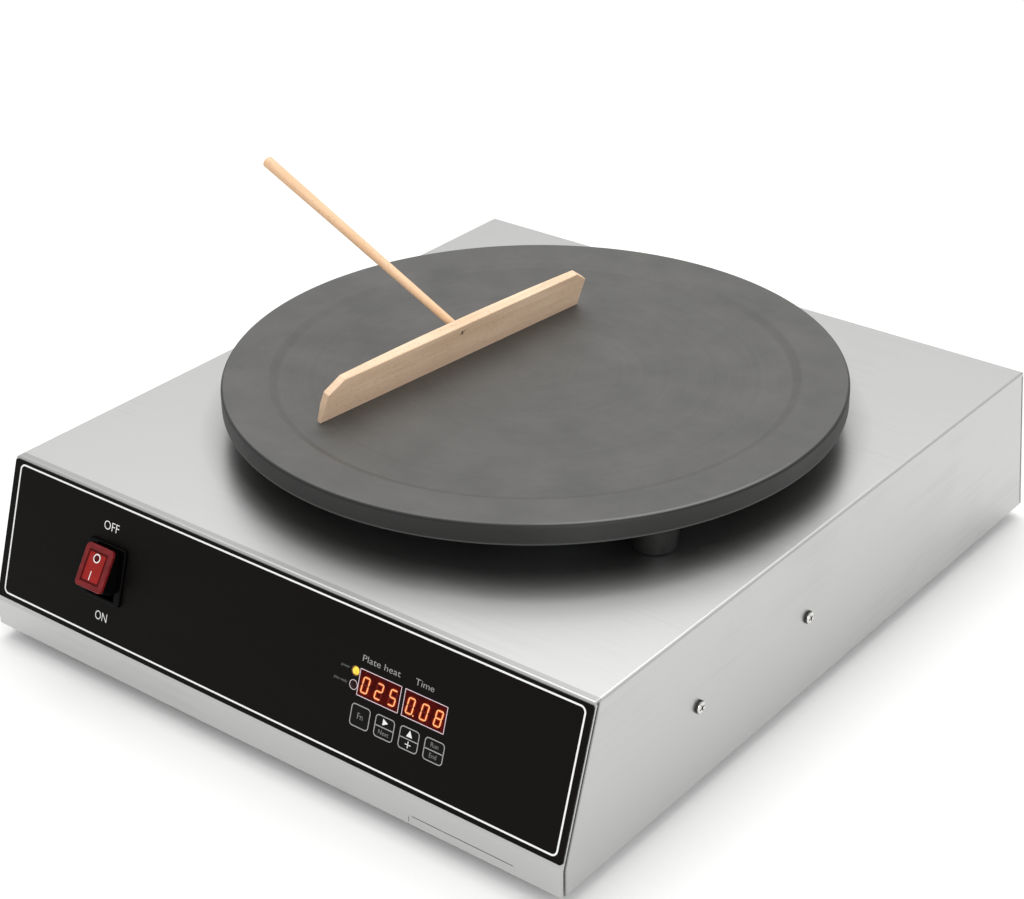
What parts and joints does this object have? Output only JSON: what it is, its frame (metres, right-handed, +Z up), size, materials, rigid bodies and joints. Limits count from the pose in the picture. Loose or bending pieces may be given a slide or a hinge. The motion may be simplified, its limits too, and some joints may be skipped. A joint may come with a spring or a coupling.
{
  "type": "electric crepe maker",
  "caption": "Countertop crepe maker: round griddle on a folded steel housing with a rocker switch, digital control panel and wooden batter spreader.",
  "frame": {"origin": "on the surface under the feet, at the middle of the overall box seen from above", "axes": "+Z up, the control panel faces -Y, +X to the right seen from the front"},
  "size_m": [0.4548, 0.5318, 0.2455],
  "materials": {
    "brushed_steel_housing": "horizontally brushed stainless sheet, soft reflections",
    "zinc_sheet": "plain zinc plated sheet",
    "foot_rubber": "matt black rubber",
    "plated_screw": "zinc plated fastener",
    "steel_screw": "bright stainless screw head",
    "coated_casting": "dark grey non-stick coating, fine orange-peel texture",
    "coated_leg": "dark grey rough casting",
    "element_tube": "oxidised stainless tube",
    "white_ceramic": "unglazed white ceramic",
    "brass_bush": "plain turned brass",
    "dark_moulding": "dark moulded plastic",
    "black_moulding": "semi-gloss black moulding",
    "panel_film": "black printed film, satin",
    "key_film": "black printed film over a key",
    "red_lens": "red translucent lens",
    "display_face": "dark red display window",
    "amber_lamp": "lit amber lamp",
    "dark_lamp": "unlit dark lamp",
    "circuit_board": "green circuit board",
    "white_nylon": "white nylon",
    "relay_case": "blue relay case",
    "sink_aluminium": "plain extruded aluminium",
    "lead_sleeve": "glass fibre braid sleeve",
    "pale_wood": "pale planed beech, fine straight grain",
    "warm_wood": "warm turned dowel"
  },
  "bodies": {
    "base": {"housing_cover": "brushed_steel_housing", "base_plate": "zinc_sheet", "foot_front_left": "foot_rubber", "foot_front_right": "foot_rubber", "foot_back_left": "foot_rubber", "foot_back_right": "foot_rubber", "foot_screws": "plated_screw", "foot_nuts": "plated_screw", "base_screws": "plated_screw", "heat_shelf": "zinc_sheet", "side_screws": "steel_screw", "side_nuts": "plated_screw", "griddle": "coated_casting", "leg_front_right": "coated_leg", "leg_back": "coated_leg", "leg_front_left": "coated_leg", "leg_studs": "plated_screw", "leg_washers": "plated_screw", "leg_nuts": "plated_screw", "heating_element": "element_tube", "element_pins": "plated_screw", "element_bushes": "white_ceramic", "element_cover": "zinc_sheet", "cover_bolts": "plated_screw", "temperature_probe": "element_tube", "probe_bush": "brass_bush", "thermal_cutout": "dark_moulding", "control_panel": "panel_film", "switch_housing": "black_moulding", "switch_terminals": "brass_bush", "temperature_display": "display_face", "timer_display": "display_face", "heat_lamp": "amber_lamp", "keep_warm_lamp": "dark_lamp", "key_switches": "dark_moulding", "control_board": "circuit_board", "board_standoffs": "plated_screw", "power_board": "circuit_board", "board_spacers": "white_nylon", "transformer": "dark_moulding", "relay": "relay_case", "heat_sink": "sink_aluminium", "triac": "dark_moulding", "heater_terminals": "white_nylon", "mains_terminals": "white_nylon", "cable_gland": "black_moulding", "gland_locknut": "black_moulding", "element_leads": "lead_sleeve", "mains_leads": "lead_sleeve"},
    "rocker": {"rocker": "black_moulding", "rocker_lens": "red_lens"},
    "spreader": {"spreader_blade": "pale_wood", "spreader_handle": "warm_wood", "spreader_pin": "plated_screw"},
    "set_key": {"set_key": "key_film"},
    "right_key": {"right_key": "key_film"},
    "up_key": {"up_key": "key_film"},
    "start_key": {"start_key": "key_film"}
  },
  "joints": [
    {"name": "rocker_tilt", "type": "hinge", "parent": "base", "child": "rocker", "pos_m": [-0.1337, -0.24641, 0.07306], "axis": [1, 0, 0], "range_deg": [0, 30]},
    {"name": "set_key_press", "type": "slide", "parent": "base", "child": "set_key", "axis": [0, 0.95, -0.3122], "range_m": [0, 0.0004], "stiffness_N_per_m": 5000, "springref_m": -0.0002},
    {"name": "right_key_press", "type": "slide", "parent": "base", "child": "right_key", "axis": [0, 0.95, -0.3122], "range_m": [0, 0.0004], "stiffness_N_per_m": 5000, "springref_m": -0.0002},
    {"name": "up_key_press", "type": "slide", "parent": "base", "child": "up_key", "axis": [0, 0.95, -0.3122], "range_m": [0, 0.0004], "stiffness_N_per_m": 5000, "springref_m": -0.0002},
    {"name": "start_key_press", "type": "slide", "parent": "base", "child": "start_key", "axis": [0, 0.95, -0.3122], "range_m": [0, 0.0004], "stiffness_N_per_m": 5000, "springref_m": -0.0002},
    {"name": "spreader_lift", "type": "slide", "parent": "base", "child": "spreader", "axis": [0, 0, 1], "range_m": [0, 0.15]}
  ]
}
